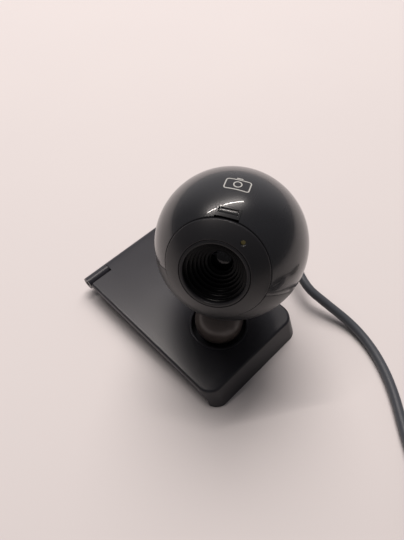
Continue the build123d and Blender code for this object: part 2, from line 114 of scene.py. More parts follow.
# ------------ materials
def linear(code: str) -> tuple[float, float, float, float]:
    """Turn an sRGB hex colour into linear RGBA.

    Args:
        code: six hex digits, with or without a leading #.

    Returns:
        Linear red, green, blue and an alpha of 1.
    """
    digits = code.lstrip("#")
    values = [int(digits[i : i + 2], 16) / 255 for i in (0, 2, 4)]
    red, green, blue = (v / 12.92 if v <= 0.04045 else ((v + 0.055) / 1.055) ** 2.4 for v in values)
    return red, green, blue, 1.0


def add_node(
    tree: bpy.types.NodeTree, kind: str, settings: dict | None = None, **links: object
) -> bpy.types.Node:
    """Add a node, set its properties and fill its inputs.

    Args:
        tree: the node tree.
        kind: the node's type name.
        settings: properties of the node itself.
        links: input name (underscores for spaces) to a value or an output socket.

    Returns:
        The new node.
    """
    node = tree.nodes.new(kind)
    for name, value in (settings or {}).items():
        setattr(node, name, value)
    for name, value in links.items():
        socket = node.inputs[name.replace("_", " ")]
        if isinstance(value, bpy.types.NodeSocket):
            tree.links.new(value, socket)
        else:
            socket.default_value = value
    return node


@dataclass(frozen=True)
class Moulding:
    """An opaque moulded or painted finish with a fine texture and slow colour drift.

    Attributes are sRGB colours, shader values and real sizes in millimetres.
    """

    name: str
    colour: str
    drift: str
    roughness: float
    grain_mm: float = 0.35
    grain_height_mm: float = 0.004
    drift_mm: float = 18.0
    smear: float = 0.08
    coat: float = 0.0
    coat_roughness: float = 0.05
    metallic: float = 0.0
    ior: float = 1.5
    sheen: float = 0.0
    dust: float = 0.0
    dust_colour: str = "#8d8880"

    def build(self) -> bpy.types.Material:
        """Make the node material.

        Returns:
            The material.
        """
        material = bpy.data.materials.new(self.name)
        material.use_nodes = True
        tree = material.node_tree
        shader = tree.nodes["Principled BSDF"]
        place = add_node(tree, "ShaderNodeTexCoord").outputs["Object"]
        slow = add_node(
            tree, "ShaderNodeTexNoise", Vector=place, Scale=1 / (self.drift_mm * MM), Detail=3.0
        )
        tint = add_node(tree, "ShaderNodeMix", {"data_type": "RGBA"})
        tree.links.new(slow.outputs["Fac"], tint.inputs["Factor"])
        tint.inputs[MIX_A].default_value = linear(self.colour)
        tint.inputs[MIX_B].default_value = linear(self.drift)
        colour = tint.outputs[MIX_RESULT]
        if self.dust:
            colour = self.dusted(tree, place, colour)
        tree.links.new(colour, shader.inputs["Base Color"])
        self.roughen(tree, shader, slow)
        self.texture(tree, shader, place)
        shader.inputs["Metallic"].default_value = self.metallic
        shader.inputs["IOR"].default_value = self.ior
        shader.inputs["Coat Weight"].default_value = self.coat
        shader.inputs["Coat Roughness"].default_value = self.coat_roughness
        shader.inputs["Sheen Weight"].default_value = self.sheen
        return material

    def dusted(
        self, tree: bpy.types.NodeTree, place: bpy.types.NodeSocket, colour: bpy.types.NodeSocket
    ) -> bpy.types.NodeSocket:
        """Scatter pale specks, as dust on a used desk object.

        Args:
            tree: the material's nodes.
            place: object coordinates.
            colour: the clean colour.

        Returns:
            The colour with dust over it.
        """
        specks = add_node(
            tree, "ShaderNodeTexNoise", Vector=place, Scale=1 / (SPECK_MM * MM), Detail=2.0
        )
        few = add_node(tree, "ShaderNodeMapRange", Value=specks.outputs["Fac"])
        few.inputs["From Min"].default_value = SPECK_LOW
        few.inputs["From Max"].default_value = SPECK_HIGH
        few.inputs["To Max"].default_value = self.dust
        mix = add_node(tree, "ShaderNodeMix", {"data_type": "RGBA"})
        tree.links.new(few.outputs["Result"], mix.inputs["Factor"])
        tree.links.new(colour, mix.inputs[MIX_A])
        mix.inputs[MIX_B].default_value = linear(self.dust_colour)
        return mix.outputs[MIX_RESULT]

    def roughen(
        self, tree: bpy.types.NodeTree, shader: bpy.types.Node, slow: bpy.types.Node
    ) -> None:
        """Vary the roughness a little, as handling leaves it.

        Args:
            tree: the material's nodes.
            shader: the surface shader.
            slow: the slow noise that also drives the colour.
        """
        spread = add_node(tree, "ShaderNodeMapRange", Value=slow.outputs["Fac"])
        spread.inputs["From Min"].default_value = NOISE_LOW
        spread.inputs["From Max"].default_value = NOISE_HIGH
        lowest = max(MIN_ROUGHNESS, self.roughness - self.smear / 2)
        spread.inputs["To Min"].default_value = lowest
        spread.inputs["To Max"].default_value = self.roughness + self.smear / 2
        tree.links.new(spread.outputs["Result"], shader.inputs["Roughness"])

    def texture(
        self, tree: bpy.types.NodeTree, shader: bpy.types.Node, place: bpy.types.NodeSocket
    ) -> None:
        """Add the moulded grain as bump.

        Args:
            tree: the material's nodes.
            shader: the surface shader.
            place: object coordinates.
        """
        grain = add_node(
            tree, "ShaderNodeTexNoise", Vector=place, Scale=1 / (self.grain_mm * MM), Detail=2.0
        )
        bump = add_node(tree, "ShaderNodeBump", Height=grain.outputs["Fac"], Strength=1.0)
        bump.inputs["Distance"].default_value = self.grain_height_mm * MM
        tree.links.new(bump.outputs["Normal"], shader.inputs["Normal"])


@dataclass(frozen=True)
class Glass:
    """A clear or tinted glass or lens resin with a coating."""

    name: str
    tint: str
    cloud_mm: float = 4.0
    cloud_tone: float = 0.9  # how dark the tint is in the coating's clouds
    ior: float = 1.52
    roughness: float = 0.02
    coat: float = 0.6
    coat_tint: str = "#b9a8ff"
    glow: float = 0.0
    glow_colour: str = "#b6c24a"

    def build(self) -> bpy.types.Material:
        """Make the node material with faint uneven coating.

        Returns:
            The material.
        """
        material = bpy.data.materials.new(self.name)
        material.use_nodes = True
        tree = material.node_tree
        shader = tree.nodes["Principled BSDF"]
        place = add_node(tree, "ShaderNodeTexCoord").outputs["Object"]
        cloud = add_node(tree, "ShaderNodeTexNoise", Vector=place, Scale=1 / (self.cloud_mm * MM))
        tint = add_node(tree, "ShaderNodeMix", {"data_type": "RGBA"})
        tree.links.new(cloud.outputs["Fac"], tint.inputs["Factor"])
        clear = linear(self.tint)
        tint.inputs[MIX_A].default_value = clear
        tint.inputs[MIX_B].default_value = tuple(self.cloud_tone * c for c in clear[:3]) + (1.0,)
        tree.links.new(tint.outputs[MIX_RESULT], shader.inputs["Base Color"])
        shader.inputs["Transmission Weight"].default_value = 1.0
        shader.inputs["Roughness"].default_value = self.roughness
        shader.inputs["IOR"].default_value = self.ior
        shader.inputs["Coat Weight"].default_value = self.coat
        shader.inputs["Coat Tint"].default_value = linear(self.coat_tint)
        shader.inputs["Emission Color"].default_value = linear(self.glow_colour)
        shader.inputs["Emission Strength"].default_value = self.glow
        return material


class Finish(Enum):
    """Every finish of the webcam, named for what the real one is made of."""

    # High-gloss ABS: mirror-like dark grey with a clear skin.
    GLOSS_ABS = Moulding(
        "gloss_abs_shell", "#1d1e21", "#212226", roughness=0.27, grain_mm=1.6,
        grain_height_mm=0.00002, drift_mm=30.0, smear=0.03, coat=0.45, coat_roughness=0.025,
    )
    # Satin ABS, finely spark-eroded mould: soft brown-grey sheen.
    SATIN_ABS = Moulding(
        "satin_abs_shell", "#1a1a1d", "#1d1d20", roughness=0.36, grain_mm=0.4,
        grain_height_mm=0.003, drift_mm=14.0, smear=0.05, dust=0.02,
    )
    # Satin ABS of the clip: a little bluer and rubbed smoother on top.
    CLIP_ABS = Moulding(
        "satin_abs_clip", "#25252a", "#2b2b31", roughness=0.32, grain_mm=0.45,
        grain_height_mm=0.005, drift_mm=22.0, smear=0.05, dust=0.05,
    )
    # Semi-gloss ABS of the neck: nearly black, brown where light grazes it.
    NECK_ABS = Moulding(
        "polished_abs_neck", "#4a4340", "#524945", roughness=0.34, grain_mm=0.6,
        grain_height_mm=0.002, drift_mm=8.0, smear=0.08, coat=0.2,
    )
    # Matt black moulding of the lens hood: eats light, only its ribs show.
    HOOD_ABS = Moulding(
        "matt_black_hood", "#08080a", "#0a0a0c", roughness=0.30, grain_mm=0.3,
        grain_height_mm=0.001, drift_mm=6.0, smear=0.04, ior=1.38,
    )
    # Button and its trim: the shell's resin, moulded a little duller.
    TRIM_ABS = Moulding(
        "semi_gloss_trim", "#1f2022", "#242528", roughness=0.28, grain_mm=0.4,
        grain_height_mm=0.001, drift_mm=6.0, smear=0.04, coat=0.3,
    )
    BLACK_ABS = Moulding("black_moulding", "#131314", "#18181a", roughness=0.45)
    WHITE_NYLON = Moulding(
        "natural_nylon", "#dcd9cf", "#cfcabc", roughness=0.42, grain_mm=0.5, grain_height_mm=0.004,
        drift_mm=5.0,
    )
    # PVC sheath: matt blue-grey, faint extrusion sheen.
    PVC_SHEATH = Moulding(
        "pvc_cord_sheath", "#3c3f45", "#43464c", roughness=0.44, grain_mm=0.5,
        grain_height_mm=0.005, drift_mm=20.0, smear=0.08, sheen=0.1, dust=0.10,
    )
    PVC_GRIP = Moulding(
        "pvc_plug_grip", "#34373c", "#393c42", roughness=0.42, grain_mm=0.4, grain_height_mm=0.008,
        drift_mm=12.0, smear=0.08, dust=0.06,
    )
    # Moulded rubber: matt black with a chalky bloom.
    RUBBER = Moulding(
        "moulded_rubber", "#1b1b1c", "#242424", roughness=0.72, grain_mm=0.35,
        grain_height_mm=0.012, drift_mm=6.0, smear=0.10, sheen=0.25, dust=0.16,
    )
    # Woven hook-and-loop strap.
    STRAP = Moulding(
        "woven_strap", "#141415", "#1d1d1f", roughness=0.80, grain_mm=0.6, grain_height_mm=0.12,
        drift_mm=2.0, smear=0.10, sheen=0.5, dust=0.12,
    )
    STEEL = Moulding(
        "zinc_plated_steel", "#b9bcc0", "#a6a8ac", roughness=0.28, grain_mm=0.2,
        grain_height_mm=0.001, drift_mm=3.0, smear=0.12, metallic=1.0,
    )
    NICKEL = Moulding(
        "bright_nickel_plate", "#d4d3cf", "#c6c5c1", roughness=0.16, grain_mm=0.5,
        grain_height_mm=0.001, drift_mm=6.0, smear=0.08, metallic=1.0,
    )
    GOLD = Moulding(
        "gold_flash", "#d9b255", "#c9a047", roughness=0.20, grain_mm=0.3, grain_height_mm=0.001,
        drift_mm=2.0, smear=0.06, metallic=1.0,
    )
    SOLDER_MASK = Moulding(
        "green_solder_mask", "#0f4a2a", "#155a33", roughness=0.24, grain_mm=0.8,
        grain_height_mm=0.01, drift_mm=1.6, smear=0.06, coat=0.4,
    )
    SENSOR = Moulding(
        "sensor_die", "#0b0a10", "#0f0d16", roughness=0.12, grain_mm=0.2, grain_height_mm=0.001,
        drift_mm=0.8, smear=0.03, coat=0.8,
    )
    # Silk-screened mark: thin pale ink.
    INK = Moulding(
        "silk_screen_ink", "#a9aaa8", "#b5b5b2", roughness=0.5, grain_mm=0.3,
        grain_height_mm=0.003, drift_mm=2.0,
    )
    # The lens glass is tinted dark grey-blue: painted shade for the deep shade inside the lens
    # hole, not the glass's own colour.
    LENS = Glass("lens_glass_painted_shade", "#3a3d45", coat=0.0)
    FILTER = Glass("infrared_filter", "#9fd8cc", coat_tint="#ff9f9f")
    LIGHT_PIPE = Glass(
        "acrylic_light_pipe", "#a5a184", ior=1.49, roughness=0.4, coat=0.0, glow=0.03,
        glow_colour="#b8a878",
    )


class Paint:
    """Builds each finish once and puts it on pieces."""

    def __init__(self) -> None:
        """Start with nothing made."""
        self.made: dict[Finish, bpy.types.Material] = {}

    def on(self, piece: bpy.types.Object, finish: Finish) -> bpy.types.Object:
        """Give a piece one finish all over.

        Args:
            piece: a mesh object.
            finish: its finish.

        Returns:
            The piece.
        """
        if finish not in self.made:
            self.made[finish] = finish.value.build()
        piece.data.materials.clear()
        piece.data.materials.append(self.made[finish])
        for face in piece.data.polygons:
            face.material_index = 0
        return piece


# ------------ mesh helpers
def as_piece(
    name: str, bm: bmesh.types.BMesh, frame: Matrix, sharp: float = 35.0
) -> bpy.types.Object:
    """Turn a bmesh in millimetres into a shaded object in the row frame.

    Args:
        name: the piece's name.
        bm: the mesh, which is freed.
        frame: the frame it was modelled in.
        sharp: edges that turn by more degrees than this stay crisp.

    Returns:
        The object, at the origin, with its place in its mesh.
    """
    bmesh.ops.remove_doubles(bm, verts=bm.verts, dist=WELD_MM)
    bmesh.ops.recalc_face_normals(bm, faces=bm.faces)
    bm.transform(Matrix.Scale(MM, 4) @ frame)
    mesh = bpy.data.meshes.new(name)
    bm.to_mesh(mesh)
    bm.free()
    mesh.shade_smooth()
    mesh.set_sharp_from_angle(angle=math.radians(sharp))
    piece = bpy.data.objects.new(name, mesh)
    bpy.context.scene.collection.objects.link(piece)
    return piece


def lathe(profile: list[tuple[float, float]], steps: int = 128) -> bmesh.types.BMesh:
    """Spin a closed outline of (radius, height) points round Z.

    Args:
        profile: the outline's corners in order; a closed loop off the axis.
        steps: segments in the full turn.

    Returns:
        The solid of revolution.
    """
    bm = bmesh.new()
    corners = [bm.verts.new((radius, 0.0, height)) for radius, height in profile]
    edges = [bm.edges.new((a, b)) for a, b in zip(corners, corners[1:] + corners[:1])]
    bmesh.ops.spin(
        bm, geom=corners + edges, axis=(0, 0, 1), cent=(0, 0, 0), angle=math.tau, steps=steps,
        use_merge=True,
    )
    return bm


def spherical(start: float, end: float, radius: float, count: int) -> list[tuple[float, float]]:
    """Points of an arc on a ball from one distance off the axis to another.

    Args:
        start: the first point's distance off the axis.
        end: the last point's.
        radius: the ball's radius.
        count: equal steps between them.

    Returns:
        Radius and height of each point.
    """
    angles = [math.asin(start / radius), math.asin(end / radius)]
    turns = [angles[0] + (angles[1] - angles[0]) * i / count for i in range(count + 1)]
    return [(radius * math.sin(t), radius * math.cos(t)) for t in turns]


def bevelled(
    piece: bpy.types.Object, width_mm: float, segments: int = 3, angle: float = CREASE_DEGREES
) -> bpy.types.Object:
    """Round a piece's sharp edges and apply the result.

    Args:
        piece: a mesh object.
        width_mm: the bevel's width.
        segments: facets across the bevel.
        angle: edges that turn by more degrees than this are rounded.

    Returns:
        The piece.
    """
    bevel = piece.modifiers.new("edge_round", "BEVEL")
    bevel.width = width_mm * MM
    bevel.segments = segments
    bevel.limit_method = "ANGLE"
    bevel.angle_limit = math.radians(angle)
    bevel.harden_normals = True
    return applied(piece)


def applied(piece: bpy.types.Object) -> bpy.types.Object:
    """Bake a piece's modifiers into its mesh.

    Args:
        piece: a mesh object.

    Returns:
        The piece.
    """
    graph = bpy.context.evaluated_depsgraph_get()
    mesh = bpy.data.meshes.new_from_object(piece.evaluated_get(graph))
    piece.modifiers.clear()
    piece.data = mesh
    return piece


def cut(piece: bpy.types.Object, tools: list[bpy.types.Object]) -> bpy.types.Object:
    """Cut solids out of a piece and discard them.

    Args:
        piece: a closed mesh object.
        tools: closed mesh objects.

    Returns:
        The piece.
    """
    for tool in tools:
        boolean = piece.modifiers.new("cut", "BOOLEAN")
        boolean.operation = "DIFFERENCE"
        boolean.solver = "EXACT"
        boolean.object = tool
    applied(piece)
    for tool in tools:
        bpy.data.objects.remove(tool)
    return piece


def block(name: str, low: Point, high: Point, frame: Matrix) -> bpy.types.Object:
    """A plain box, used as a cutting tool or a start shape.

    Args:
        name: the box's name.
        low: its lowest corner.
        high: its highest corner.
        frame: the frame that both are in.

    Returns:
        The box.
    """
    bm = bmesh.new()
    bmesh.ops.create_cube(bm, size=1.0)
    size = [high[i] - low[i] for i in range(3)]
    centre = [(high[i] + low[i]) / 2 for i in range(3)]
    bmesh.ops.scale(bm, verts=bm.verts, vec=size)
    bmesh.ops.translate(bm, verts=bm.verts, vec=centre)
    return as_piece(name, bm, frame)


def rod(name: str, radius: float, low: float, high: float, frame: Matrix) -> bpy.types.Object:
    """A plain cylinder, used as a cutting tool.

    Args:
        name: the cylinder's name.
        radius: its radius.
        low: where it starts along Z.
        high: where it ends.
        frame: the frame that it stands in.

    Returns:
        The cylinder.
    """
    bm = bmesh.new()
    bmesh.ops.create_cone(
        bm, cap_ends=True, segments=48, radius1=radius, radius2=radius, depth=high - low,
        matrix=moved(0, 0, (low + high) / 2),
    )
    return as_piece(name, bm, frame)


def machined_copy(
    node: str, name: str, width_mm: float, segments: int = 3
) -> bpy.types.Object:
    """A merged copy of a CAD node with its edges rounded.

    Args:
        node: the CAD node.
        name: the new piece's name.
        width_mm: the edge rounding's width.
        segments: facets across each rounding.

    Returns:
        The copy, at the origin.
    """
    bm = bmesh.new()
    bm.from_mesh(bpy.data.objects[node].data)
    bmesh.ops.remove_doubles(bm, verts=bm.verts, dist=NODE_WELD)
    bmesh.ops.dissolve_limit(
        bm, angle_limit=math.radians(FLAT_DEGREES), verts=bm.verts, edges=bm.edges
    )
    mesh = bpy.data.meshes.new(name)
    bm.to_mesh(mesh)
    bm.free()
    mesh.shade_smooth()
    mesh.set_sharp_from_angle(angle=math.radians(CREASE_DEGREES))
    piece = bpy.data.objects.new(name, mesh)
    bpy.context.scene.collection.objects.link(piece)
    return bevelled(piece, width_mm, segments) if width_mm else piece


# ------------ stage
@dataclass
class Studio:
    """Camera, floor and soft light, in metres and degrees."""

    azimuth: float = -45.28
    elevation: float = 54.85
    roll: float = 0.42
    distance: float = 0.18854
    target: Point = (0.00360, 0.01353, 0.030)
    lens: float = 32.0
    floor_half_mm: float = 5000.0
    ceiling: float = 1.5
    tube_offset: tuple[float, float] = (0.105, 0.375)  # shares of the ceiling's height
    tube_size: tuple[float, float] = (1.35, 0.03)
    tube_turn: float = -31.8
    tube_watts: float = 12.5
    wash_place: Point = (0.74, 0.72, 1.42)
    wash_size: tuple[float, float] = (1.2, 1.0)
    wash_watts: float = 32.0
    lamp_colour: str = "#fff6f0"
    room_colour: str = "#e6e2e4"
    back_wall: Point = (0.74, 0.66, 0.22)
    room_fade: float = 0.35  # how far from facing the back wall the room starts to pale
    room_dim: float = 0.13
    room_bright: float = 0.66

    def camera(self) -> None:
        """Place the camera."""
        azimuth, elevation = math.radians(self.azimuth), math.radians(self.elevation)
        roll = math.radians(self.roll)
        back = Vector((
            math.sin(azimuth) * math.cos(elevation),
            -math.cos(azimuth) * math.cos(elevation),
            math.sin(elevation),
        ))
        right = Vector((0, 0, 1)).cross(back).normalized()
        up = back.cross(right)
        level = right * math.cos(roll) + up * math.sin(roll)
        upright = up * math.cos(roll) - right * math.sin(roll)
        data = bpy.data.cameras.new("camera")
        data.lens = self.lens
        data.clip_start = 0.005
        camera = bpy.data.objects.new("camera", data)
        place = Matrix((level, upright, back)).transposed().to_4x4()
        place.translation = Vector(self.target) + back * self.distance
        camera.matrix_world = place
        bpy.context.scene.collection.objects.link(camera)
        bpy.context.scene.camera = camera

    def floor(self) -> None:
        """A plain pale desk top."""
        bm = bmesh.new()
        bmesh.ops.create_grid(bm, x_segments=4, y_segments=4, size=self.floor_half_mm)
        piece = as_piece("desk_top", bm, Matrix.Identity(4))
        top = Moulding(
            "painted_desk", "#c8c3c4", "#cdc8c8", roughness=0.60, grain_mm=0.6,
            grain_height_mm=0.003, drift_mm=160.0, smear=0.05,
        )
        piece.data.materials.append(top.build())

    def lamp(
        self, name: str, place: Point, size: tuple[float, float], turn: float, watts: float
    ) -> bpy.types.Object:
        """A rectangular lamp that shines down.

        Args:
            name: the lamp's name.
            place: its centre.
            size: its length and width.
            turn: the heading of its length, in degrees.
            watts: its power.

        Returns:
            The lamp.
        """
        data = bpy.data.lights.new(name, "AREA")
        data.shape = "RECTANGLE"
        data.size, data.size_y = size
        data.energy = watts
        data.color = linear(self.lamp_colour)[:3]
        lamp = bpy.data.objects.new(name, data)
        lamp.location = place
        lamp.rotation_euler = (0.0, 0.0, math.radians(turn))
        bpy.context.scene.collection.objects.link(lamp)
        return lamp

    def light(self) -> None:
        """One ceiling tube, a broad soft wash from behind and a room that is paler at the back."""
        across, along = (share * self.ceiling for share in self.tube_offset)
        tube_place = (across, along, self.ceiling)
        self.lamp("ceiling_tube", tube_place, self.tube_size, self.tube_turn, self.tube_watts)
        wash = self.lamp("back_wash", self.wash_place, self.wash_size, 0.0, self.wash_watts)
        wash.rotation_euler = Vector(self.wash_place).to_track_quat("Z", "Y").to_euler()
        wash.visible_glossy = False
        self.room()
        bpy.context.scene.view_settings.view_transform = "Standard"

    def room(self) -> None:
        """World light that fades from a pale back wall to a dim front."""
        world = bpy.data.worlds.new("room")
        world.use_nodes = True
        tree = world.node_tree
        way = add_node(tree, "ShaderNodeTexCoord").outputs["Generated"]
        facing = add_node(tree, "ShaderNodeVectorMath", {"operation": "DOT_PRODUCT"})
        tree.links.new(way, facing.inputs[0])
        facing.inputs[1].default_value = Vector(self.back_wall).normalized()
        fade = add_node(
            tree, "ShaderNodeMapRange", {"interpolation_type": "SMOOTHSTEP"},
            Value=facing.outputs["Value"],
        )
        fade.inputs["From Min"].default_value = self.room_fade
        fade.inputs["From Max"].default_value = 1.0
        fade.inputs["To Min"].default_value = self.room_dim
        fade.inputs["To Max"].default_value = self.room_bright
        ground = tree.nodes["Background"]
        ground.inputs["Color"].default_value = linear(self.room_colour)
        tree.links.new(fade.outputs["Result"], ground.inputs["Strength"])
        bpy.context.scene.world = world


# ------------ cord
@dataclass
class Cord:
    """The limp USB cord: a hooked tail at the ball, a free lead, a tied coil and the plug's end."""

    diameter: float = 3.9
    tail_route: tuple[Point, ...] = (
        (34.8, 18.1, 33.8),
        (41.0, 21.3, 30.2),
        (48.4, 21.4, 23.1),
        (53.2, 15.4, 14.8),
        (52.5, 4.8, 9.3),
        (46.6, -3.24, 9.3),
    )
    lead_route: tuple[Point, ...] = (
        (46.6, -3.24, 9.3),
        (39.8, -12.5, 9.3),
        (41.5, -25.5, 5.6),
        (42.8, -36.0, 3.0),
        (41.8, -44.4, 2.1),
        (38.8, -53.0, 1.96),
        (34.3, -61.1, 1.95),
        (28.8, -68.4, 1.95),
        (22.6, -75.1, 1.95),
        (16.2, -81.9, 2.05),
        (9.26, -90.8, 2.4),
    )
    end_route: tuple[Point, ...] = (
        (42.6, -130.9, 13.9),
        (53.4, -125.4, 10.6),
        (61.7, -116.3, 6.4),
        (66.2, -104.4, 4.1),
    )
    blend_end: Point = (16.2, -81.9, 2.05)
    coil_centre: tuple[float, float] = (24.7, -112.0)
    coil_radii: tuple[float, float] = (23.95, 20.05)
    coil_foot: float = 2.75
    coil_start: float = 150.0
    coil_turns: float = 7.39
    points_per_turn: int = 24
    crossing: float = 0.16  # share of a turn in which the cord steps to its next place
    tail_length: float = 0.050
    main_length: float = 1.174
    tail_fineness: int = 12
    main_fineness: int = 6
    bevel_resolution: int = 6

    def coil_points(self) -> list[Point]:
        """Turns beside and on each other: outer, inner, inner, outer, layer after layer.

        Returns:
            Control points of the coil.
        """
        # The spline runs this share of the radius out from the coil's middle.
        ring = 0.75 + 0.25 * math.cos(math.tau / self.points_per_turn)
        count = round(self.coil_turns * self.points_per_turn)
        points = []
        for i in range(count + 1):
            turn = self.coil_turns * i / count
            whole = int(turn)
            ahead = max(0.0, (turn - whole - 1 + self.crossing) / self.crossing)
            ease = ahead * ahead * (3 - 2 * ahead)
            here, there = self.seat(whole), self.seat(whole + 1)
            radius = (here[0] + (there[0] - here[0]) * ease) / ring
            height = here[1] + (there[1] - here[1]) * ease
            angle = math.radians(self.coil_start) + math.tau * turn
            x = self.coil_centre[0] + radius * math.cos(angle)
            y = self.coil_centre[1] + radius * math.sin(angle)
            points.append((x, y, height))
        return points

    def seat(self, turn: int) -> tuple[float, float]:
        """Radius and height of one whole turn."""
        radius = self.coil_radii[0] if turn % 4 in (0, 3) else self.coil_radii[1]
        return radius, self.coil_foot + self.diameter * (turn // 2)

    def spline(
        self, name: str, points: list[Point], fineness: int, bevel: float
    ) -> bpy.types.Object:
        """A smooth NURBS curve through the cord's control points.

        Args:
            name: the curve's name.
            points: control points in millimetres.
            fineness: samples per control point.
            bevel: the tube's radius in millimetres, or 0 for the bare line.

        Returns:
            The curve object.
        """
        curve = bpy.data.curves.new(name, "CURVE")
        curve.dimensions = "3D"
        line = curve.splines.new("NURBS")
        line.points.add(len(points) - 1)
        for point, place in zip(line.points, points):
            point.co = (*(value * MM for value in place), 1.0)
        line.order_u = 3
        line.use_endpoint_u = True
        line.resolution_u = fineness
        curve.bevel_depth = bevel * MM
        curve.bevel_resolution = self.bevel_resolution
        curve.use_fill_caps = True
        shape = bpy.data.objects.new(name, curve)
        bpy.context.scene.collection.objects.link(shape)
        return shape

    def tube(
        self, name: str, points: list[Point], fineness: int
    ) -> tuple[bpy.types.Object, list[Vector]]:
        """A mesh tube along the spline.

        Args:
            name: the tube's name.
            points: control points in millimetres.
            fineness: samples per control point.

        Returns:
            The tube, and the points that it follows.
        """
        graph = bpy.context.evaluated_depsgraph_get()
        meshes = []
        for bevel in (self.diameter / 2, 0.0):
            shape = self.spline(name, points, fineness, bevel)
            graph.update()
            meshes.append(bpy.data.meshes.new_from_object(shape.evaluated_get(graph)))
            bpy.data.objects.remove(shape)
        piece = bpy.data.objects.new(name, meshes[0])
        bpy.context.scene.collection.objects.link(piece)
        meshes[0].shade_smooth()
        return piece, [vertex.co.copy() for vertex in meshes[1].vertices]

    def build(self, paint: Paint) -> None:
        """Args:
            paint: the finishes.
        """
        tail, tail_line = self.tube("cord_tail_sheath", list(self.tail_route), self.tail_fineness)
        paint.on(tail, Finish.PVC_SHEATH)
        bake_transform(tail)
        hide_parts("cord_tail")
        route = list(self.lead_route) + self.coil_points() + list(self.end_route)
        main, main_line = self.tube("cord_lead_and_coil", route, self.main_fineness)
        paint.on(main, Finish.PVC_SHEATH)
        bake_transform(main)
        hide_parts("cord_lead", "cord_coil", "cord_end")
        LOG.info("cord: tail %d and lead %d line points", len(tail_line), len(main_line))


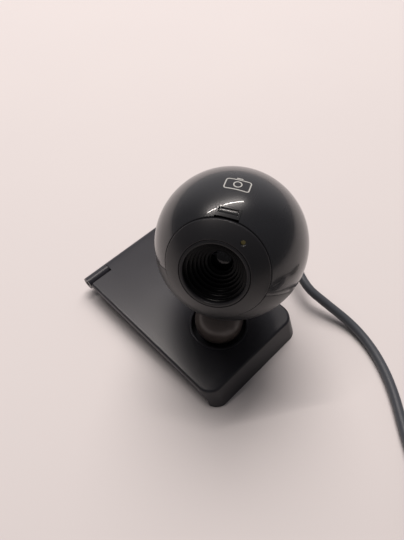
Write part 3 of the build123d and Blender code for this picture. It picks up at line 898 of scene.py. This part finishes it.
# ------------ camera ball
@dataclass
class Ball:
    """The camera ball's casing: glossy upper shell, satin lower shell and satin bezel."""

    face_plane: float = 20.88  # how far in front of the centre the shells stop
    bezel_r: float = 17.7
    bezel_lift: float = 0.34
    rim_round: float = 0.42
    hub_bore: float = 11.74
    wall: float = 1.6
    parting_drop: float = 8.6
    parting_tilt: float = -9.37
    parting_groove: float = 0.24
    shell_rings: tuple[int, int] = (128, 96)
    upper_edge: float = 0.22
    lower_edge: float = 0.25
    button_hole: tuple[Point, Point] = ((-3.95, -3.2, 24.0), (3.95, 1.55, 29.0))
    gland_r: float = 3.3
    gland_span: tuple[float, float] = (20.0, 30.0)
    slot_half: float = 4.95
    slot_length: tuple[float, float] = (-6.3, 6.7)
    slot_height: tuple[float, float] = (-30.0, -20.0)
    well_r: float = 2.1
    well_place: tuple[float, float] = (20.2, 8.0)
    well_span: tuple[float, float] = (-20.0, -12.0)
    ear_side: float = 8.8
    ear_half: float = 4.4
    ear_height: tuple[float, float] = (-25.9, -20.6)
    ear_round: float = 0.4
    bezel_back: tuple[tuple[float, float], ...] = (
        (16.2, 18.2), (16.2, 20.0), (13.3, 21.6), (13.3, 15.0),
    )
    bezel_wall_foot: float = 18.4
    bezel_bore_foot: float = 15.0
    window_hole_r: float = 0.8
    mark_tilt: float = 22.0

    def build(self, paint: Paint) -> None:
        """Make the casing's visible pieces.

        Args:
            paint: the finishes.
        """
        upper = self.casing("glossy_upper_shell", True)
        button_hole = block("tool", *self.button_hole, BUTTON_FRAME)
        gland_hole = rod("tool", self.gland_r, *self.gland_span, REAR_FRAME)
        cut(upper, [button_hole, gland_hole])
        bevelled(upper, self.upper_edge)
        finish_piece(paint, upper, Finish.GLOSS_ABS, "head", "gloss_shell", "upper_shell")
        lower = self.casing("satin_lower_shell", False)
        low, high = zip((-self.slot_half, self.slot_half), self.slot_length, self.slot_height)
        slot = block("tool", low, high, BALL_FRAME)
        x, y = self.well_place
        wells = [
            rod("tool", self.well_r, *self.well_span, BALL_FRAME @ moved(side * x, y, 0))
            for side in (-1, 1)
        ]
        cut(lower, [slot, *wells])
        bevelled(lower, self.lower_edge)
        finish_piece(paint, lower, Finish.SATIN_ABS, "head", "satin_shell", "lower_shell")
        self.ears(paint)
        self.bezel(paint)
        self.mark(paint)

    def casing(self, name: str, upper: bool) -> bpy.types.Object:
        """A shell half as one closed wall.

        Args:
            name: the piece's name.
            upper: True for the part above the parting plane.

        Returns:
            The piece.
        """
        bm = bmesh.new()
        around, along = self.shell_rings
        for radius in (BALL_R, BALL_R - self.wall):
            bmesh.ops.create_uvsphere(
                bm, u_segments=around, v_segments=along, radius=radius, matrix=turned(90, "X")
            )
        side = 1 if upper else -1
        height = -self.parting_drop + side * self.parting_groove / 2
        plane = moved(0, 0, height) @ turned(self.parting_tilt, "X")
        normal = plane.to_3x3() @ Vector((0, 0, -side))
        face = (0, -self.face_plane, 0)
        for point, direction in ((face, (0, -1, 0)), (plane.translation, normal)):
            everything = bm.verts[:] + bm.edges[:] + bm.faces[:]
            bmesh.ops.bisect_plane(
                bm, geom=everything, plane_co=point, plane_no=direction, clear_outer=True
            )
        self.join_walls(bm)
        return as_piece(name, bm, BALL_FRAME)

    def join_walls(self, bm: bmesh.types.BMesh) -> None:
        """Close the open rim between the outer and the inner wall."""
        rim = [edge for edge in bm.edges if edge.is_boundary]
        bmesh.ops.bridge_loops(bm, edges=rim)

    def ears(self, paint: Paint) -> None:
        """The two ears inside the slot, which hold the tilt pin.

        Args:
            paint: the finishes.
        """
        bottom, top = self.ear_height
        for side, hand in ((-1, "left"), (1, "right")):
            low, high = sorted((side * self.slot_half, side * self.ear_side))
            corners = (low, -self.ear_half, bottom), (high, self.ear_half, top)
            ear = bevelled(block(f"pin_ear_{hand}", *corners, BALL_FRAME), self.ear_round)
            finish_piece(paint, ear, Finish.SATIN_ABS, "head", "satin_shell")

    def bezel(self, paint: Paint) -> None:
        """The satin face, a hair proud of the shells, with its rounded rim and the hub bore.

        Args:
            paint: the finishes.
        """
        proud = BALL_R + self.bezel_lift
        outer = spherical(self.hub_bore + 0.3, self.bezel_r - self.rim_round, proud, 24)
        turn = math.asin((self.bezel_r - self.rim_round) / proud)
        depth = outer[-1][1] - self.rim_round * math.cos(turn)
        centre = outer[-1][0] - self.rim_round * math.sin(turn)
        edge = [
            (centre + self.rim_round * math.sin(a), depth + self.rim_round * math.cos(a))
            for a in (turn + (math.pi / 2 - turn) * i / 8 for i in range(1, 9))
        ]
        wall = edge[-1][0]
        back = [
            (wall, self.bezel_wall_foot), *self.bezel_back, (self.hub_bore, self.bezel_bore_foot)
        ]
        mouth = [(self.hub_bore, outer[0][1] - 0.25), (self.hub_bore + 0.08, outer[0][1] - 0.05)]
        bm = lathe(outer + edge + back + mouth, 160)
        piece = as_piece("satin_front_bezel", bm, OPTICAL_FRAME)
        window_frame = OPTICAL_FRAME @ moved(*LIGHT_PLACE, 0)
        cut(piece, [rod("tool", self.window_hole_r, 10.0, 30.0, window_frame)])
        finish_piece(paint, piece, Finish.SATIN_ABS, "head", "satin_shell", "front_bezel")

    def mark(self, paint: Paint) -> None:
        """A plain camera pictogram in pale ink on the crown, laid onto the ball's curve.

        Args:
            paint: the finishes.
        """
        bm = bmesh.new()
        self.ink_line(bm, (8.6, 5.2), 1.0, (0.0, 0.0), 0.42)
        self.ink_line(bm, (3.0, 3.0), 1.5, (0.0, 0.0), 0.42)
        self.ink_line(bm, (2.2, 0.5), 0.25, (0.0, 3.1), 0.24)
        long = [edge for edge in bm.edges if edge.calc_length() > 0.5]
        bmesh.ops.subdivide_edges(bm, edges=long, cuts=14, use_grid_fill=True)
        for vertex in bm.verts:
            vertex.co.z = math.sqrt((BALL_R + 0.012) ** 2 - vertex.co.x**2 - vertex.co.y**2)
        piece = as_piece("printed_mark", bm, BALL_FRAME @ turned(self.mark_tilt, "X"))
        solid = piece.modifiers.new("ink", "SOLIDIFY")
        solid.thickness = 0.02 * MM
        solid.offset = 1
        finish_piece(paint, applied(piece), Finish.INK, "head", "gloss_shell")

    def ink_line(
        self,
        bm: bmesh.types.BMesh,
        size: tuple[float, float],
        corner: float,
        place: tuple[float, float],
        stroke: float,
    ) -> None:
        """Add a rounded rectangular line of ink.

        Args:
            bm: the mark's mesh.
            size: outer width and height.
            corner: outer corner radius.
            place: the line's centre.
            stroke: the line's width.
        """
        loops = []
        for inset in (0.0, stroke):
            radius = max(0.01, corner - inset)
            ring = bmesh.ops.create_circle(bm, segments=64, radius=radius)["verts"]
            for vertex in ring:
                for axis in (0, 1):
                    half = max(0.0, size[axis] / 2 - inset - radius)
                    vertex.co[axis] += math.copysign(half, vertex.co[axis]) + place[axis]
            loops += {edge for vertex in ring for edge in vertex.link_edges}
        bmesh.ops.bridge_loops(bm, edges=loops)


def finish_piece(
    paint: Paint, piece: bpy.types.Object, finish: Finish, body: str, slot: str, *nodes: str
) -> bpy.types.Object:
    """Dress a new piece, seat it on its body and hide the CAD nodes that it replaces.

    Args:
        paint: the finishes.
        piece: the new piece.
        finish: its finish.
        body: the body that it rides on.
        slot: the record's material slot; not used.
        nodes: the CAD nodes that it replaces.

    Returns:
        The piece.
    """
    paint.on(piece, finish)
    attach(piece, body)
    if nodes:
        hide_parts(*nodes)
    LOG.info("%s: %d faces on %s", piece.name, len(piece.data.polygons), body)
    return piece


@dataclass
class Optics:
    """Lens hood, lens and light window."""

    rim: float = 25.34
    outer_r: float = 11.66
    mouth_r: float = 10.46
    steps: tuple[tuple[float, float], ...] = (
        (10.4, 23.4), (9.5, 21.6), (8.5, 20.0), (7.5, 18.6), (6.5, 17.4), (5.5, 16.4), (4.4, 15.3),
    )
    throat: tuple[float, float] = (4.2, 15.0)
    hood_back: tuple[tuple[float, float], ...] = (
        (4.2, 15.1), (7.6, 15.1), (7.6, 12.7), (10.85, 12.7), (10.85, 24.5),
    )
    hood_sharp: float = 40.0
    lens_r: float = 4.9
    lens_dome_r: float = 9.0
    lens_top: float = 14.3
    lens_foot: float = 12.1
    window_r: float = 0.72
    window_dome_r: float = 1.6
    window_sink: float = 0.12
    window_foot: float = 4.0

    def hood(self, paint: Paint) -> None:
        """Stepped black funnel whose ribs have small raised edges, inside a satin grip rim.

        Args:
            paint: the finishes.
        """
        mouth, outer, top = self.mouth_r, self.outer_r, self.rim
        rim = [(mouth, 25.1), (mouth + 0.12, top - 0.04), (mouth + 0.3, top)]
        rim += [(outer - 0.3, top), (outer - 0.08, top - 0.08), (outer, top - 0.3)]
        rim += [(outer, 20.2), (mouth + 0.42, 20.2), (mouth + 0.42, 24.6), (mouth, 24.6)]
        grip = as_piece("focus_grip_rim", lathe(rim), OPTICAL_FRAME, self.hood_sharp)
        finish_piece(paint, grip, Finish.SATIN_ABS, "focus_ring", "hood_black")
        inside = [(mouth, 24.55), (mouth - 0.02, 24.4)]
        for (radius, floor), following in zip(self.steps, self.steps[1:] + (self.throat,)):
            inside += [(radius, floor + 0.15), (radius - 0.12, floor), (following[0] + 0.16, floor)]
            inside += [(following[0] + 0.1, floor + 0.1), (following[0], floor + 0.02)]
        back = [*self.hood_back, (mouth + 0.02, 24.58)]
        piece = as_piece("lens_hood", lathe(inside + back), OPTICAL_FRAME, self.hood_sharp)
        finish_piece(paint, piece, Finish.HOOD_ABS, "focus_ring", "hood_black", "focus_ring")

    def lens(self, paint: Paint) -> None:
        """Domed front lens.

        Args:
            paint: the finishes.
        """
        dome = spherical(AXIS_GAP, self.lens_r, self.lens_dome_r, 16)
        top = [(radius, height - self.lens_dome_r + self.lens_top) for radius, height in dome]
        bottom = [(self.lens_r, self.lens_foot), (AXIS_GAP, self.lens_foot)]
        piece = as_piece("front_lens", lathe(top + bottom, 64), OPTICAL_FRAME)
        finish_piece(paint, piece, Finish.LENS, "lens_barrel", "lens_glass", "lens_front")

    def light(self, paint: Paint) -> None:
        """The light pipe's face, flush in the bezel.

        Args:
            paint: the finishes.
        """
        dome = spherical(AXIS_GAP, self.window_r, self.window_dome_r, 6)
        x, y = LIGHT_PLACE
        base = math.sqrt(BALL_R**2 - x**2 - y**2) - self.window_sink
        top = [(radius, height - self.window_dome_r + base) for radius, height in dome]
        bm = lathe(top + [(self.window_r, self.window_foot), (AXIS_GAP, self.window_foot)], 32)
        piece = as_piece("light_window", bm, OPTICAL_FRAME @ moved(x, y, 0))
        finish_piece(paint, piece, Finish.LIGHT_PIPE, "head", "clear_lamp", "led_pipe")

    def build(self, paint: Paint) -> None:
        """Make the optics' visible pieces.

        Args:
            paint: the finishes.
        """
        self.hood(paint)
        self.lens(paint)
        self.light(paint)


@dataclass
class Base:
    """Clip plate, leg, socket trim, neck and strain relief."""

    bulb_r: float = 9.8
    bulb_z: float = 12.0
    bulb_foot: float = 4.6
    bulb_steps: int = 48
    stalk_foot: float = 20.5
    relief_flange: tuple[tuple[float, float], ...] = (
        (4.1, 24.2), (4.1, 25.2), (3.2, 25.3), (3.2, 27.2),
    )
    relief_ribs: int = 3
    rib_start: float = 27.7
    rib_pitch: float = 1.3
    rib_r: float = 3.05
    rib_taper: float = 0.2
    relief_tip: tuple[float, float] = (2.25, 31.45)
    relief_end: float = 31.5

    def neck(self, paint: Paint) -> None:
        """Polished round foot with a waisted stalk.

        Args:
            paint: the finishes.
        """
        foot = math.sqrt(self.bulb_r**2 - (self.bulb_z - self.bulb_foot) ** 2)
        start = math.atan2(foot, self.bulb_foot - self.bulb_z)
        turns = [start * (1 - i / self.bulb_steps) for i in range(self.bulb_steps)]
        arc = [(self.bulb_r * math.sin(t), self.bulb_z + self.bulb_r * math.cos(t)) for t in turns]
        profile = [(AXIS_GAP, self.bulb_foot), *arc, (AXIS_GAP, self.bulb_z + self.bulb_r)]
        bulb = as_piece("neck_foot", lathe(profile), NECK_FRAME)
        finish_piece(paint, bulb, Finish.NECK_ABS, "neck", "neck_plastic")
        stalk = machined_copy("neck", "neck_stalk", 0.0)
        bisected(stalk, self.stalk_foot * MM)
        finish_piece(paint, stalk, Finish.NECK_ABS, "neck", "neck_plastic", "neck")

    def relief(self, paint: Paint) -> None:
        """Grooved tapered strain relief at the ball's back.

        Args:
            paint: the finishes.
        """
        profile = [(AXIS_GAP, self.relief_flange[0][1]), *self.relief_flange]
        for i in range(self.relief_ribs):
            start = self.rib_start + self.rib_pitch * i
            radius = self.rib_r - self.rib_taper * i
            profile += [(radius - 0.1, start), (radius, start + 0.12)]
            profile += [(radius - 0.06, start + 0.72), (radius - 0.4, start + 0.84)]
            profile += [(radius - 0.42, start + 1.22)]
        profile += [self.relief_tip, (AXIS_GAP, self.relief_end)]
        piece = as_piece("grooved_relief", lathe(profile, 64), REAR_FRAME)
        finish_piece(paint, piece, Finish.PVC_SHEATH, "head", "cord_sheath", "strain_relief")

    def build(self, paint: Paint) -> None:
        """Make the base's pieces.

        Args:
            paint: the finishes.
        """
        plate = machined_copy("clip_plate", "clip_plate_skin", 0.45, 3)
        finish_piece(paint, plate, Finish.CLIP_ABS, "base", "base_plastic", "clip_plate")
        leg = machined_copy("rear_leg", "rear_leg_skin", 0.4, 3)
        finish_piece(paint, leg, Finish.CLIP_ABS, "leg", "base_plastic", "rear_leg")
        self.neck(paint)
        self.relief(paint)
        for node, finish, body, slot, width in (
            ("button_frame", Finish.TRIM_ABS, "head", "button_plastic", 0.15),
            ("snapshot_button", Finish.TRIM_ABS, "snapshot_button", "button_plastic", 0.15),
            ("socket_ring", Finish.CLIP_ABS, "base", "base_plastic", 0.0),
            ("foot_pads", Finish.RUBBER, "leg", "rubber", 0.3),
            ("leg_grip_pad", Finish.RUBBER, "leg", "rubber", 0.25),
        ):
            piece = machined_copy(node, f"{node}_skin", width, 2)
            finish_piece(paint, piece, finish, body, slot, node)


def bisected(piece: bpy.types.Object, height: float) -> None:
    """Keep only what is above a height and close the cut.

    Args:
        piece: a closed mesh object.
        height: the height, in metres.
    """
    bm = bmesh.new()
    bm.from_mesh(piece.data)
    everything = bm.verts[:] + bm.edges[:] + bm.faces[:]
    bmesh.ops.bisect_plane(
        bm, geom=everything, plane_co=(0, 0, height), plane_no=(0, 0, -1), clear_outer=True
    )
    bmesh.ops.holes_fill(bm, edges=[edge for edge in bm.edges if edge.is_boundary])
    bm.to_mesh(piece.data)
    bm.free()


# ------------ CAD nodes kept as they are
KEPT_NODES = {
    Finish.WHITE_NYLON: (
        "thrust_washer", "swivel_washer", "friction_washers", "board_connector", "usb_tongue",
    ),
    Finish.RUBBER: ("rest_pad", "lip_pad"),
    Finish.STEEL: (
        "hinge_pin", "tilt_pin", "swivel_screw", "board_screws", "shell_screws", "focus_clip",
    ),
    Finish.BLACK_ABS: (
        "tact_switch", "board_components", "lens_holder", "lens_barrel", "lens_retainer",
    ),
    Finish.SOLDER_MASK: ("main_board", "button_board"),
    Finish.PVC_SHEATH: ("inner_lead",),
    Finish.PVC_GRIP: ("usb_overmould",),
    Finish.NICKEL: ("usb_shell",),
    Finish.GOLD: ("usb_contacts",),
    Finish.STRAP: ("cord_tie",),
    Finish.SENSOR: ("image_sensor",),
    Finish.LENS: ("lens_middle", "lens_rear"),
    Finish.FILTER: ("ir_filter",),
    Finish.LIGHT_PIPE: ("status_led",),
}


def dress_kept_nodes(nodes: dict[str, bpy.types.Object], paint: Paint) -> None:
    """Give every CAD node that stays its finish.

    Args:
        nodes: CAD node name to object.
        paint: the finishes.
    """
    for finish, names in KEPT_NODES.items():
        for name in names:
            paint.on(nodes[name], finish)
            LOG.info("%s: %s", name, finish.name)


def main() -> None:
    """Build the webcam's looks in order."""
    logging.basicConfig(level=logging.INFO, format="%(message)s")
    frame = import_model()
    paint = Paint()
    studio = Studio()
    studio.camera()
    Cord().build(paint)
    studio.floor()
    studio.light()
    Ball().build(paint)
    Optics().build(paint)
    Base().build(paint)
    dress_kept_nodes(frame["nodes"], paint)
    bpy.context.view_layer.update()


if __name__ == "__main__":
    main()
